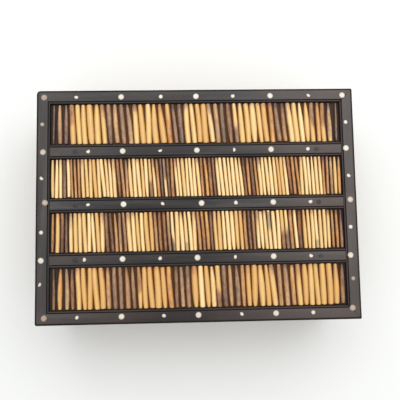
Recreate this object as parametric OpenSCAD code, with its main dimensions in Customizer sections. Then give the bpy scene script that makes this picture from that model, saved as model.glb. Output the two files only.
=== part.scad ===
// A hinged box faced with porcupine quills between ebony rails that are dotted with bone.
// It stands on Z = 0 with its middle on the Z axis. +X is to the right and the front faces -Y.
// All sizes are in millimetres, and the lid is closed and unlocked.

/* [Overall] */
// Width of the lid, left to right
lid_w = 257; // [250:1:280]
// Depth of the lid, front to back
lid_d = 187; // [180:1:200]
// Height of the closed box
total_h = 84; // [80:1:110]
// Thickness of the lid at its edge
lid_t = 10.8; // [10:0.1:13]
// How far the lid stands out past the box all round
overhang = 4; // [4:0.1:5]

/* [Lid face] */
// Width of the ebony rail round the lid
rail_w = 11.3; // [10:0.1:12]
// Width of each ebony bar across the lid
bar_w = 11.2; // [10:0.1:12]
// Distance between the middles of two neighbouring bars
bar_pitch = 43.2; // [42:0.1:45]
// Height of the rails and bars above the lid board
facing_t = 3; // [2.8:0.1:3.4]
// Number of quills in each row, back row first
row_counts = [47, 76, 68, 48]; // [40:1:80]
// Slant of the quills in each row in degrees, back row first
row_slants = [4.6, 4.2, 3.2, 3.0]; // [0:0.1:5]

/* [Dots] */
// Radius of a large bone dot
large_dot_r = 2.4; // [2:0.1:2.6]
// Radius of a small bone dot
small_dot_r = 1.65; // [1.2:0.05:2]
// Radius of an ebony plug over a fixing
plug_r = 2.4; // [1.5:0.1:2.5]
// Places of the dots along the back rail, left to right: small and large by turns, the first one small
back_rail_dots = [-96.5, -60.5, -28.5, 0, 30, 60.5, 92]; // [-105:0.5:105]
// Places of the dots along the front rail
front_rail_dots = [-95.5, -61, -28, -1, 33, 60, 89.5]; // [-105:0.5:105]
// Places of the dots along the back bar
back_bar_dots = [-87, -59.5, -29.5, 0, 30, 60, 90]; // [-92:0.5:92]
// Places of the dots along the middle bar
middle_bar_dots = [-87, -59, -28, 3, 30.5, 60.5, 90.5]; // [-92:0.5:92]
// Places of the dots along the front bar
front_bar_dots = [-90, -60, -30.5, -1, 29, 59.5, 89.5]; // [-92:0.5:92]
// Places of the dots along the left rail, back to front: large and small by turns, the first one large
left_rail_dots = [87.5, 65.5, 43, 22, 2.5, -21, -43, -61.5, -87.5]; // [-90:0.5:90]
// Places of the dots along the right rail
right_rail_dots = [87.5, 65, 43.5, 21, 1.5, -20.5, -43, -61.5, -84.5]; // [-90:0.5:90]
// Distance of each of the left rail's dots from the lid's left edge
left_insets = [6.3, 5, 5.7, 4.8, 7.6, 4.8, 4.8, 4, 7.5]; // [4:0.1:9]
// Distance of each of the right rail's dots from the lid's right edge
right_insets = [8.7, 6.7, 7.3, 6.1, 5.6, 6.3, 7.3, 6, 7.5]; // [4:0.1:9]
// Distance of the dots from the lid's back and front edges
end_insets = [6, 6.1]; // [4.5:0.1:7]
// Spacing of the dots along the sides of the box
side_dot_pitch = 31; // [28:0.5:33]

/* [Box] */
// Thickness of the four wall boards
wall_t = 7; // [7:0.5:9]
// Thickness of the bottom board
base_t = 6; // [4:0.5:8]
// Thickness of the ebony facing on the walls
clad_t = 3.5; // [3:0.1:4]
// Height of the ebony plinth
plinth_h = 12; // [9:0.5:15]
// Height of the ebony rail under the rim
upper_rail_h = 10; // [9:0.5:12]
// Width of the ebony corner posts
post_w = 10; // [8:0.5:12]
// Width of the ebony stiles in the middle of the front and back
stile_w = 16; // [14:0.5:20]
// Number of quills in each half of the front and back
long_panel_count = 24; // [18:1:26]
// Number of quills in each side
short_panel_count = 36; // [28:1:38]

/* [Hinges] */
// Distance of each hinge from the middle of the box
hinge_x = 78; // [60:1:90]
// Length of each hinge
hinge_l = 26; // [24:1:32]
// Radius of the hinge barrel
barrel_r = 1.9; // [1.8:0.05:2]

/* [Lock] */
// Width of the lock case
case_w = 32; // [32:1:36]
// Height of the lock case
case_h = 26; // [26:0.5:28]
// Travel of the bolt from unlocked to locked
bolt_travel = 4; // [3:0.1:4]

/* [Hidden] */
$fn = 48;

// Colours
EBONY = [0.22, 0.19, 0.18];
PLUG = [0.12, 0.1, 0.1];
BONE = [0.82, 0.79, 0.72];
LIGHT_QUILL = [0.96, 0.83, 0.56];
DARK_QUILL = [0.36, 0.25, 0.19];
CARCASS = [0.55, 0.36, 0.2];
BRASS = [0.72, 0.56, 0.28];
STEEL = [0.5, 0.48, 0.45];

// Sides of the box, counted round from the front
FRONT = 0;
RIGHT = 1;
BACK = 2;
LEFT = 3;

// Heights and plan sizes
seam_gap = 0.3;
lid_z = total_h - lid_t;
rim_z = lid_z - seam_gap;
board_t = lid_t - facing_t;
box_w = lid_w - 2 * overhang;
box_d = lid_d - 2 * overhang;
core_w = box_w - 2 * clad_t;
core_d = box_d - 2 * clad_t;
plinth_out = 1;
plinth_edge_drop = 2.4;
plinth_step_drop = 1.4;
panel_top = rim_z - upper_rail_h;

// What a cut goes past a face, and the room round a part that is let in
cut = 1;
fit = 0.03;

// Edges of the ebony pieces
edge_r = 1;
bead_r = 0.8;
bead_drop = 0.25;
quirk_w = 0.5;
quirk_t = 0.8;

// Quills
quill_gap_share = 0.08;
quill_vary = 0.13;
quill_end_gap = 0.4;
quill_side_gap = 0.5;
quill_rise = 2.3;
quill_rise_share = 1.6;
quill_corner_gap = 0.2;
slant_ramp = 40;
lid_seed = 11;
panel_seed = 21;
dark_run = 4;
light_runs = [5, 8, 7, 5];
panel_light_run = 5;

// Dots
dot_t = 1.6;
dot_proud = 0.12;
bar_dot_shift = 0.4;
plug_x = 97;
post_dot_step = 16;
stile_dot_rise = 12;
plinth_dot_drop = 0.5;

// Hinges
pin_out = 0.8;
pin_y = box_d / 2 + pin_out;
pin_z = lid_z - seam_gap / 2;
pin_r = 0.9;
pin_room = 0.04;
pin_head_r = 1.35;
pin_head_t = 0.4;
bore_r = pin_r + pin_room;
barrel_room = 0.3;
barrel_room_r = barrel_r + barrel_room;
barrel_room_l = hinge_l + 2 * pin_head_t + 2 * barrel_room;
leaf_t = 1;
leaf_reach = 10;
knuckles = 5;
knuckle_gap = 0.2;
hinge_screw_share = 0.28;
hinge_screw_y = -7;

// Screws
shank_r = 0.75;
head_r = 1.6;
head_t = 0.8;
driver_slot = 0.4;
point_r = 0.2;
point_l = 1;
screw_l = 5;
short_screw_l = 4;

// Lock
sheet_t = 0.8;
lock_depth = 6;
wall_in_y = -(core_d / 2 - wall_t);
plate_y = wall_in_y - sheet_t;
case_y = wall_in_y - lock_depth;
bolt_y = (case_y + sheet_t + plate_y) / 2;
plate_side = 4.5;
plate_foot = 3;
plate_w = case_w + 2 * plate_side;
plate_h = case_h + plate_foot;
plate_screw_inset = [2.3, 3];
key_drop = 19.9;
key_z = rim_z - key_drop;
keyhole_r = 1.6;
keyhole_slot_w = 1.8;
keyhole_slot_l = 4.2;
key_pin_r = 0.8;
lug_x = 7;
lug_t = 2;
lug_w = 3;
lug_h = 9;
lug_room = 0.4;
lug_hole_drop = 6.5;
lug_hole_z = lid_z - lug_hole_drop;
lug_hole = [lug_t + 2 * cut, 1.6, 3];
bolt_t = 1;
bolt_bar = [20.4, 5];
bolt_left = -14.4;
bolt_drop = 16.4;
bolt_bar_z = rim_z - bolt_drop;
bolt_slot_rise = 3.1;
bolt_slot_z = bolt_bar_z + bolt_slot_rise;
bolt_slot_room = 0.1;
bolt_post_r = 1;
bolt_posts_x = [-7, 3];
hook_w = 2.2;
tongue_l = 3.6;
tongue_h = 2;
talon_r = 1.4;
talon_x = -2;
link_w = 29;
link_d = 8;
link_t = 1;
link_screw_x = 11.5;
escutcheon_w = 11;
escutcheon_h = 18;
escutcheon_t = 1.2;
escutcheon_z = key_z - keyhole_slot_l / 3;

// Middles of the three bars and of the four rows, back first
bars_y = [bar_pitch, 0, -bar_pitch];
outer_row_y = (lid_d / 2 - rail_w + bar_pitch + bar_w / 2) / 2;
rows_y = [outer_row_y, bar_pitch / 2, -bar_pitch / 2, -outer_row_y];
outer_row_l = lid_d / 2 - rail_w - bar_pitch - bar_w / 2;
inner_row_l = bar_pitch - bar_w;
rows_l = [outer_row_l, inner_row_l, inner_row_l, outer_row_l];
row_w = lid_w - 2 * rail_w;

// Dots on the lid, as [x, y]. Along each bar and rail, every second one is small.
function every_second(places, first, y) = [for (i = [first:2:len(places) - 1]) [places[i], y]];
function down_a_rail(places, insets, end, first) =
    [for (i = [first:2:len(places) - 1]) [end * (lid_w / 2 - insets[i]), places[i]]];
function lid_row_dots(first) = [
    each every_second(back_rail_dots, first, lid_d / 2 - end_insets[0]),
    each every_second(back_bar_dots, first, bars_y[0]),
    each every_second(middle_bar_dots, first, bars_y[1] + bar_dot_shift),
    each every_second(front_bar_dots, first, bars_y[2] + bar_dot_shift),
    each every_second(front_rail_dots, first, -lid_d / 2 + end_insets[1]),
];
function lid_end_dots(first) = [
    each down_a_rail(left_rail_dots, left_insets, -1, first),
    each down_a_rail(right_rail_dots, right_insets, 1, first),
];
large_dots = concat(lid_row_dots(1), lid_end_dots(0));
small_dots = concat(lid_row_dots(0), lid_end_dots(1));
plugs = [for (x = [-plug_x, plug_x], y = bars_y) [x, y]];

// Dots on the box, as [side, place along the side, height]
upper_dot_z = rim_z - upper_rail_h / 2;
plinth_dot_z = plinth_h / 2 - plinth_dot_drop;
middle_dot_z = (plinth_h + panel_top) / 2;
function side_steps(side) = side % 2 == 0 ? 3 : 2;
function rail_dots(odd) = [
    for (side = [FRONT:LEFT], z = [upper_dot_z, plinth_dot_z], k = [-side_steps(side):side_steps(side)])
        if ((abs(k) % 2 == 1) == odd) [side, k * side_dot_pitch, z],
];
function post_dots_z(large) =
    large ? [middle_dot_z] : [middle_dot_z - post_dot_step, middle_dot_z + post_dot_step];
function post_dots(large) = [
    for (side = [FRONT:LEFT], end = [-1, 1], z = post_dots_z(large))
        [side, end * (side_l(side, box_w, box_d) / 2 - post_w / 2), z],
];
box_large_dots = concat(rail_dots(false), post_dots(true), [[BACK, 0, middle_dot_z]]);
box_small_dots = concat(rail_dots(true), post_dots(false), [[FRONT, 0, plinth_h + stile_dot_rise]]);

// Length of a side, of a box w wide and d deep
function side_l(side, w, d) = side % 2 == 0 ? w : d;

// Puts what is made along the front, with its outer face on y = 0, on one side of a box w wide and d deep
module on_side(side, w, d) {
    rotate([0, 0, 90 * side])
        translate([0, -side_l(side + 1, w, d) / 2, 0])
            children();
}

// Runs a section along X: its x goes inwards from the outer face and its y goes up
module run(length) {
    translate([-length / 2, 0, 0])
        rotate([90, 0, 90])
            linear_extrude(length)
                children();
}

// Runs a section along X and mitres both ends over the given width
module mitred_run(length, width) {
    half = length / 2;
    intersection() {
        run(length) children();
        translate([0, 0, -cut])
            linear_extrude(total_h + 2 * cut)
                polygon([[-half, 0], [half, 0], [half - width, width], [width - half, width]]);
    }
}

// ---- Screws -------------------------------------------------------------------------------

// Countersunk screw with its head's top on z = 0, pointing down
module screw(length) {
    color(BRASS)
        difference() {
            union() {
                translate([0, 0, -head_t]) cylinder(r1 = shank_r, r2 = head_r, h = head_t);
                translate([0, 0, point_l - length])
                    cylinder(r = shank_r, h = length - point_l - head_t / 2);
                translate([0, 0, -length]) cylinder(r1 = point_r, r2 = shank_r, h = point_l);
            }
            translate([-head_r, -driver_slot / 2, -driver_slot])
                cube([2 * head_r, driver_slot, driver_slot + cut]);
        }
}

// Hole for such a screw, countersunk for its head
module screw_hole(length) {
    translate([0, 0, -head_t]) cylinder(r1 = shank_r + fit, r2 = head_r + fit, h = head_t);
    translate([0, 0, -length - fit]) cylinder(r = shank_r + fit, h = length);
    translate([0, 0, -fit]) cylinder(r = head_r + fit, h = cut);
}

// ---- Box: boards --------------------------------------------------------------------------

module base_board() {
    color(CARCASS)
        translate([-core_w / 2, -core_d / 2, 0])
            cube([core_w, core_d, base_t]);
}

// The front and back boards run the full width, and the side boards stand between them
module wall_board(side) {
    length = side_l(side, core_w, core_d - 2 * wall_t);
    color(CARCASS)
        on_side(side, core_w, core_d)
            translate([-length / 2, 0, base_t])
                cube([length, wall_t, rim_z - base_t]);
}

module wall_front() {
    color(CARCASS)
        difference() {
            wall_board(FRONT);
            lock_room();
            lock_screw_places() screw_hole(short_screw_l);
        }
}

module wall_back() {
    color(CARCASS)
        difference() {
            wall_board(BACK);
            hinge_places() box_leaf_room();
            hinge_places() box_screw_places() screw_hole(screw_l);
        }
}

// ---- Box: ebony facing --------------------------------------------------------------------

// Section of the plinth, with a step and a slope at its top
module plinth_section() {
    thickness = clad_t + plinth_out;
    polygon([
        [0, 0], [thickness, 0], [thickness, plinth_h], [plinth_out, plinth_h],
        [plinth_out, plinth_h - plinth_step_drop], [0, plinth_h - plinth_edge_drop],
    ]);
}

module plinth(side) {
    width = box_w + 2 * plinth_out;
    depth = box_d + 2 * plinth_out;
    color(EBONY)
        difference() {
            on_side(side, width, depth)
                mitred_run(side_l(side, width, depth), clad_t + plinth_out) plinth_section();
            box_dot_holes(box_large_dots, large_dot_r, plinth_out);
            box_dot_holes(box_small_dots, small_dot_r, plinth_out);
        }
}

// Section of the rail under the rim, with a bead on its lower edge
module upper_rail_section() {
    difference() {
        union() {
            translate([0, 2 * bead_r]) square([clad_t, upper_rail_h - 2 * bead_r]);
            translate([bead_r + bead_drop, 0]) square([clad_t - bead_r - bead_drop, 2 * bead_r + cut / 2]);
            translate([bead_r + bead_drop, bead_r]) circle(bead_r);
        }
        translate([-cut, 2 * bead_r]) square([quirk_t + cut, quirk_w]);
    }
}

module upper_rail(side) {
    color(EBONY)
        difference() {
            translate([0, 0, panel_top])
                on_side(side, box_w, box_d)
                    mitred_run(side_l(side, box_w, box_d), clad_t) upper_rail_section();
            box_dot_holes(box_large_dots, large_dot_r, 0);
            box_dot_holes(box_small_dots, small_dot_r, 0);
            hinge_places() box_leaf_room();
        }
}

// Post of L section, at the corner to the left of a side
module corner_post(side) {
    color(EBONY)
        difference() {
            rotate([0, 0, 90 * side])
                translate([-side_l(side, box_w, box_d) / 2, -side_l(side + 1, box_w, box_d) / 2, plinth_h])
                    difference() {
                        cube([post_w, post_w, panel_top - plinth_h]);
                        translate([clad_t, clad_t, -cut]) cube([post_w, post_w, panel_top]);
                    }
            box_dot_holes(box_large_dots, large_dot_r, 0);
            box_dot_holes(box_small_dots, small_dot_r, 0);
        }
}

module stile(side) {
    on_side(side, box_w, box_d)
        translate([-stile_w / 2, 0, plinth_h])
            cube([stile_w, clad_t, panel_top - plinth_h]);
}

module stile_front() {
    color(EBONY)
        difference() {
            stile(FRONT);
            box_dot_holes(box_small_dots, small_dot_r, 0);
            translate([0, -box_d / 2 + escutcheon_t, 0]) escutcheon_shape(escutcheon_t + cut, fit);
            keyhole(-box_d / 2 - cut, clad_t + 2 * cut);
        }
}

module stile_back() {
    color(EBONY)
        difference() {
            stile(BACK);
            box_dot_holes(box_large_dots, large_dot_r, 0);
        }
}

// Places round dots or their holes on the sides: out is how far the face stands proud of the box
module box_dot_places(dots, out) {
    for (dot = dots)
        on_side(dot[0], box_w + 2 * out, box_d + 2 * out)
            translate([dot[1], 0, dot[2]])
                rotate([-90, 0, 0])
                    children();
}

module box_dot_holes(dots, r, out) {
    box_dot_places(dots, out)
        translate([0, 0, -cut])
            cylinder(r = r + fit, h = dot_t + cut);
}

// Dots low on the plinth stand out with it, and the others are level with the rails and posts
module box_dots(dots, r) {
    color(BONE)
        for (low = [false, true])
            box_dot_places([for (dot = dots) if ((dot[2] < plinth_h) == low) dot], low ? plinth_out : 0)
                translate([0, 0, -dot_proud])
                    cylinder(r = r, h = dot_t + dot_proud);
}

// ---- Quills -------------------------------------------------------------------------------

function running_sum(v) = [for (i = 0, s = 0; i <= len(v); s = s + (i < len(v) ? v[i] : 0), i = i + 1) s];

// Widths of the quills in a row: each varies a little, and together they fill the length
function quill_widths(length, count, seed) =
    let (raw = rands(1 - quill_vary, 1 + quill_vary, count, seed), total = running_sum(raw)[count])
    [for (w = raw) w * length / total];

// Dark quills come in short runs between longer runs of light ones
function is_dark(i, light_run) = i % (dark_run + light_run) < dark_run;

// One quill along X = 0: a round rod with a flat bed, lying on z = 0 and centred on y = 0
module quill(width, length) {
    r = width / 2;
    rise = min(quill_rise, quill_rise_share * r);
    translate([0, length / 2, 0])
        rotate([90, 0, 0])
            linear_extrude(length)
                intersection() {
                    translate([0, rise - r]) circle(r);
                    translate([-width, 0]) square([2 * width, 2 * width]);
                }
}

// A row of quills laid side by side along X, each lying along Y and slanted a little from it
module quill_row(row_length, quill_length, count, slant, seed, light_run) {
    length = row_length - 2 * quill_side_gap;
    widths = quill_widths(length, count, seed);
    ends = running_sum(widths);
    for (i = [0:count - 1]) {
        x = ends[i] + widths[i] / 2 - length / 2;
        ease = min(1, (row_length / 2 - abs(x)) / slant_ramp);
        angle = slant * ease;
        reach = (quill_length - 2 * quill_end_gap) / cos(angle) - quill_corner_gap;
        color(is_dark(i, light_run) ? DARK_QUILL : LIGHT_QUILL)
            translate([x, 0, 0])
                rotate([0, 0, angle])
                    quill(widths[i] * (1 - quill_gap_share), reach);
    }
}

module lid_quills(row) {
    translate([0, rows_y[row], lid_z + board_t])
        quill_row(row_w, rows_l[row], row_counts[row], row_slants[row], lid_seed + row, light_runs[row]);
}

// Quills stand upright in the panels of the box
module panel_quills(side, panel_l, middle, count) {
    height = panel_top - plinth_h;
    on_side(side, core_w, core_d)
        translate([middle, 0, plinth_h + height / 2])
            rotate([90, 0, 0])
                quill_row(panel_l, height, count, 0, panel_seed + side + middle, panel_light_run);
}

module long_panels(side) {
    panel_l = (box_w - 2 * post_w - stile_w) / 2;
    for (end = [-1, 1])
        panel_quills(side, panel_l, end * (stile_w + panel_l) / 2, long_panel_count);
}

module short_panel(side) {
    panel_quills(side, box_d - 2 * post_w, 0, short_panel_count);
}

// ---- Lid ----------------------------------------------------------------------------------

module lid_board() {
    width = lid_w - 2 * overhang;
    depth = lid_d - 2 * overhang;
    color(CARCASS)
        difference() {
            translate([-width / 2, -depth / 2, lid_z]) cube([width, depth, board_t]);
            hinge_places() lid_leaf_room();
            hinge_places() lid_screw_places() screw_hole(screw_l);
            link_room();
            link_screw_places() screw_hole(screw_l);
        }
}

// Section of a lid rail: a lip round the board's edge, a tongue over the board, a rounded outer edge
// and a bead along the inner edge
module lid_rail_section() {
    face_w = rail_w - 2 * bead_r;
    difference() {
        union() {
            square([overhang, lid_t - edge_r]);
            translate([0, board_t]) square([face_w, facing_t - edge_r]);
            translate([edge_r, board_t]) square([face_w - edge_r, facing_t]);
            translate([edge_r, lid_t - edge_r]) circle(edge_r);
            inner_bead();
        }
        translate([face_w - quirk_w, lid_t - quirk_t]) square([quirk_w, quirk_t + cut]);
    }
}

// Bead along the inner edge of a lid rail
module inner_bead() {
    height = facing_t - bead_r - bead_drop;
    translate([rail_w - 2 * bead_r - cut / 2, board_t]) square([2 * bead_r + cut / 2, height]);
    translate([rail_w - bead_r, board_t + height]) circle(bead_r);
}

module lid_rail(side) {
    color(EBONY)
        difference() {
            translate([0, 0, lid_z])
                on_side(side, lid_w, lid_d)
                    mitred_run(side_l(side, lid_w, lid_d), rail_w) lid_rail_section();
            lid_dot_holes();
            if (side == BACK)
                hinge_places() lid_leaf_room();
        }
}

// Section of a bar, with a bead along both edges
module lid_bar_section() {
    height = facing_t - bead_r - bead_drop;
    face_w = bar_w - 4 * bead_r;
    difference() {
        union() {
            translate([-face_w / 2, 0]) square([face_w, facing_t]);
            translate([-bar_w / 2, 0]) square([bar_w, height]);
            for (end = [-1, 1])
                translate([end * (bar_w / 2 - bead_r), height]) circle(bead_r);
        }
        for (end = [-1, 1])
            translate([end * (face_w / 2 - quirk_w / 2) - quirk_w / 2, facing_t - quirk_t])
                square([quirk_w, quirk_t + cut]);
    }
}

module lid_bar(index) {
    color(EBONY)
        difference() {
            translate([0, bars_y[index], lid_z + board_t]) run(row_w) lid_bar_section();
            lid_dot_holes();
            lid_dot_places(plugs) cylinder(r = plug_r + fit, h = dot_t + cut);
        }
}

// Places what starts dot_t under the lid's face
module lid_dot_places(dots) {
    for (dot = dots)
        translate([dot[0], dot[1], total_h - dot_t])
            children();
}

module lid_dot_holes() {
    lid_dot_places(large_dots) cylinder(r = large_dot_r + fit, h = dot_t + cut);
    lid_dot_places(small_dots) cylinder(r = small_dot_r + fit, h = dot_t + cut);
}

// The lid's dots are rubbed down level with its face
module lid_dots(dots, r) {
    color(BONE)
        lid_dot_places(dots) cylinder(r = r, h = dot_t);
}

module lid_plugs() {
    color(PLUG)
        lid_dot_places(plugs) cylinder(r = plug_r, h = dot_t);
}

// ---- Hinges -------------------------------------------------------------------------------

// Each hinge is made round its pin, which lies along X
module hinge_place(end) {
    translate([end * hinge_x, pin_y, pin_z]) children();
}

module hinge_places() {
    for (end = [-1, 1])
        hinge_place(end) children();
}

module along_pin(r, length) {
    rotate([0, 90, 0]) cylinder(r = r, h = length, center = true);
}

// Leaf with every second knuckle of the barrel: up is 1 for the lid's leaf and -1 for the box's
module leaf(up) {
    pitch = hinge_l / knuckles;
    plate_z = up > 0 ? seam_gap / 2 : -seam_gap / 2 - leaf_t;
    first = up > 0 ? 1 : 0;
    color(BRASS)
        difference() {
            union() {
                translate([-hinge_l / 2, -leaf_reach, plate_z])
                    cube([hinge_l, leaf_reach - barrel_room_r, leaf_t]);
                for (k = [first:2:knuckles - 1])
                    translate([(k + 0.5) * pitch - hinge_l / 2, 0, 0]) {
                        along_pin(barrel_r, pitch - knuckle_gap);
                        translate([(knuckle_gap - pitch) / 2, -barrel_room_r - cut, plate_z])
                            cube([pitch - knuckle_gap, barrel_room_r + cut, leaf_t]);
                    }
            }
            along_pin(bore_r, hinge_l + cut);
            if (up > 0)
                lid_screw_places() screw_hole(screw_l);
            else
                box_screw_places() screw_hole(screw_l);
        }
}

// Two screws go up into the lid and two go down into the box
module lid_screw_places() {
    for (end = [-1, 1])
        translate([end * hinge_screw_share * hinge_l, hinge_screw_y, seam_gap / 2])
            rotate([180, 0, 0])
                children();
}

module box_screw_places() {
    for (end = [-1, 1])
        translate([end * hinge_screw_share * hinge_l, hinge_screw_y, -seam_gap / 2])
            children();
}

// Room for the barrel and for a leaf let in flush
module lid_leaf_room() {
    along_pin(barrel_room_r, barrel_room_l);
    translate([-barrel_room_l / 2, 0, -cut]) cube([barrel_room_l, overhang + cut, cut + barrel_room_r]);
    translate([-hinge_l / 2 - fit, -leaf_reach - fit, -cut])
        cube([hinge_l + 2 * fit, leaf_reach, cut + seam_gap / 2 + leaf_t]);
}

module box_leaf_room() {
    along_pin(barrel_room_r, barrel_room_l);
    translate([-hinge_l / 2 - fit, -leaf_reach - fit, -seam_gap / 2 - leaf_t])
        cube([hinge_l + 2 * fit, leaf_reach, leaf_t + cut]);
}

// Pin with both ends spread over the barrel
module hinge_pin(end) {
    color(STEEL)
        hinge_place(end) {
            along_pin(pin_r, hinge_l + 2 * pin_head_t);
            for (tip = [-1, 1])
                translate([tip * (hinge_l + pin_head_t) / 2, 0, 0]) along_pin(pin_head_r, pin_head_t);
        }
}

// ---- Lock ---------------------------------------------------------------------------------

// Keyhole through whatever lies between y and y + depth
module keyhole(y, depth) {
    translate([0, y + depth, key_z])
        rotate([90, 0, 0])
            linear_extrude(depth) {
                circle(keyhole_r);
                translate([-keyhole_slot_w / 2, -keyhole_slot_l]) square([keyhole_slot_w, keyhole_slot_l]);
            }
}

// Diamond-shaped plate lying before the plane y = 0, made larger all round by the given room
module escutcheon_shape(depth, room) {
    half_w = escutcheon_w / 2 + room;
    half_h = escutcheon_h / 2 + room;
    translate([0, 0, escutcheon_z])
        rotate([90, 0, 0])
            linear_extrude(depth)
                polygon([[-half_w, 0], [0, -half_h], [half_w, 0], [0, half_h]]);
}

module escutcheon() {
    color(BONE)
        difference() {
            translate([0, -box_d / 2 + escutcheon_t, 0]) escutcheon_shape(escutcheon_t + dot_proud, 0);
            keyhole(-box_d / 2 - cut, escutcheon_t + 2 * cut);
        }
}

// Recess in the front board for the lock, and the keyhole through what is left of the board
module lock_room() {
    translate([-case_w / 2 - fit, case_y - fit, rim_z - case_h - fit])
        cube([case_w + 2 * fit, lock_depth + fit + cut, case_h + fit + cut]);
    translate([-plate_w / 2 - fit, plate_y, rim_z - plate_h - fit])
        cube([plate_w + 2 * fit, sheet_t + cut, plate_h + fit + cut]);
    keyhole(-core_d / 2 - cut, wall_t);
}

// Four screws go through the lock's plate into the board
module lock_screw_places() {
    inset = plate_screw_inset;
    for (x = [-1, 1], z = [rim_z - plate_h + inset[1], rim_z - inset[1]])
        translate([x * (plate_w / 2 - inset[0]), wall_in_y, z])
            rotate([-90, 0, 0])
                children();
}

// Case open to the inside of the box, where the plate closes it. Two posts carry the bolt.
module lock_case() {
    depth = plate_y - case_y;
    slot_w = lug_t + 2 * lug_room;
    slot_d = lug_w + 3 * lug_room;
    color(BRASS) {
        difference() {
            translate([-case_w / 2, case_y, rim_z - case_h]) cube([case_w, depth, case_h]);
            translate([-case_w / 2 + sheet_t, case_y + sheet_t, rim_z - case_h + sheet_t])
                cube([case_w - 2 * sheet_t, depth, case_h - 2 * sheet_t]);
            for (x = [-lug_x, lug_x])
                translate([x - slot_w / 2, bolt_y - slot_d / 2, rim_z - sheet_t - cut])
                    cube([slot_w, slot_d, sheet_t + 2 * cut]);
            keyhole(case_y - cut, sheet_t + 2 * cut);
        }
        for (x = bolt_posts_x)
            translate([x, case_y + sheet_t / 2, bolt_slot_z])
                rotate([-90, 0, 0])
                    cylinder(r = bolt_post_r, h = depth - sheet_t / 2 - fit);
    }
}

// Plate that covers the case and carries the pin that the key turns on
module lock_plate() {
    color(BRASS) {
        difference() {
            translate([-plate_w / 2, plate_y, rim_z - plate_h]) cube([plate_w, sheet_t, plate_h]);
            lock_screw_places() screw_hole(short_screw_l);
        }
        translate([0, plate_y + sheet_t / 2, key_z])
            rotate([90, 0, 0])
                cylinder(r = key_pin_r, h = lock_depth - sheet_t);
    }
}

// Bolt with two hooks: its tongues slide in +X through the lugs of the link plate
module lock_bolt() {
    color(BRASS)
        translate([0, bolt_y + bolt_t / 2, 0])
            rotate([90, 0, 0])
                linear_extrude(bolt_t)
                    difference() {
                        union() {
                            translate([bolt_left, bolt_bar_z]) square(bolt_bar);
                            for (x = [bolt_left, bolt_left + 2 * lug_x]) bolt_hook(x);
                        }
                        for (x = bolt_posts_x) bolt_slot(x);
                        translate([talon_x, bolt_bar_z]) circle(talon_r);
                    }
}

module bolt_hook(x) {
    top = lug_hole_z + tongue_h / 2;
    translate([x, bolt_bar_z]) square([hook_w, top - bolt_bar_z]);
    translate([x, top - tongue_h]) square([hook_w + tongue_l, tongue_h]);
}

// Slot with round ends, in which a post of the case stays as the bolt moves
module bolt_slot(x) {
    r = bolt_post_r + bolt_slot_room;
    translate([x, bolt_slot_z]) circle(r);
    translate([x - bolt_travel, bolt_slot_z]) circle(r);
    translate([x - bolt_travel, bolt_slot_z - r]) square([bolt_travel, 2 * r]);
}

// Recess under the lid for the link plate
module link_room() {
    translate([-link_w / 2 - fit, bolt_y - link_d / 2 - fit, lid_z - cut])
        cube([link_w + 2 * fit, link_d + 2 * fit, link_t + cut]);
}

module link_screw_places() {
    for (end = [-1, 1])
        translate([end * link_screw_x, bolt_y, lid_z])
            rotate([180, 0, 0])
                children();
}

// Plate under the lid with two pierced lugs that drop into the lock
module link_plate() {
    color(BRASS)
        difference() {
            union() {
                translate([-link_w / 2, bolt_y - link_d / 2, lid_z]) cube([link_w, link_d, link_t]);
                for (x = [-lug_x, lug_x])
                    translate([x - lug_t / 2, bolt_y - lug_w / 2, lid_z - lug_h])
                        cube([lug_t, lug_w, lug_h + cut / 2]);
            }
            for (x = [-lug_x, lug_x])
                translate([x, bolt_y, lug_hole_z]) cube(lug_hole, center = true);
            link_screw_places() screw_hole(screw_l);
        }
}

// ---- The pieces ---------------------------------------------------------------------------

base_board();
wall_front();
wall_board(RIGHT);  // wall_right
wall_back();
wall_board(LEFT);  // wall_left
plinth(FRONT);  // plinth_front
plinth(RIGHT);  // plinth_right
plinth(BACK);  // plinth_back
plinth(LEFT);  // plinth_left
upper_rail(FRONT);  // upper_rail_front
upper_rail(RIGHT);  // upper_rail_right
upper_rail(BACK);  // upper_rail_back
upper_rail(LEFT);  // upper_rail_left
corner_post(FRONT);  // corner_post_front_left
corner_post(RIGHT);  // corner_post_front_right
corner_post(BACK);  // corner_post_back_right
corner_post(LEFT);  // corner_post_back_left
stile_front();
stile_back();
long_panels(FRONT);  // quills_front
short_panel(RIGHT);  // quills_right
long_panels(BACK);  // quills_back
short_panel(LEFT);  // quills_left
box_dots(box_large_dots, large_dot_r);  // box_dots_large
box_dots(box_small_dots, small_dot_r);  // box_dots_small
lid_board();
lid_rail(FRONT);  // lid_rail_front
lid_rail(RIGHT);  // lid_rail_right
lid_rail(BACK);  // lid_rail_back
lid_rail(LEFT);  // lid_rail_left
lid_bar(0);  // lid_bar_back
lid_bar(1);  // lid_bar_middle
lid_bar(2);  // lid_bar_front
lid_quills(0);  // lid_quills_row_1
lid_quills(1);  // lid_quills_row_2
lid_quills(2);  // lid_quills_row_3
lid_quills(3);  // lid_quills_row_4
lid_dots(large_dots, large_dot_r);  // lid_dots_large
lid_dots(small_dots, small_dot_r);  // lid_dots_small
lid_plugs();
hinge_place(-1) leaf(-1);  // box_leaf_left
hinge_place(1) leaf(-1);  // box_leaf_right
hinge_place(-1) leaf(1);  // lid_leaf_left
hinge_place(1) leaf(1);  // lid_leaf_right
hinge_pin(-1);  // hinge_pin_left
hinge_pin(1);  // hinge_pin_right
hinge_places() box_screw_places() screw(screw_l);  // box_hinge_screws
hinge_places() lid_screw_places() screw(screw_l);  // lid_hinge_screws
lock_case();
lock_plate();
lock_bolt();
lock_screw_places() screw(short_screw_l);  // lock_screws
escutcheon();
link_plate();
link_screw_places() screw(screw_l);  // link_screws
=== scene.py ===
import math
import random

import bmesh
import bpy
import numpy as np
from mathutils import Euler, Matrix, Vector, noise


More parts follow.
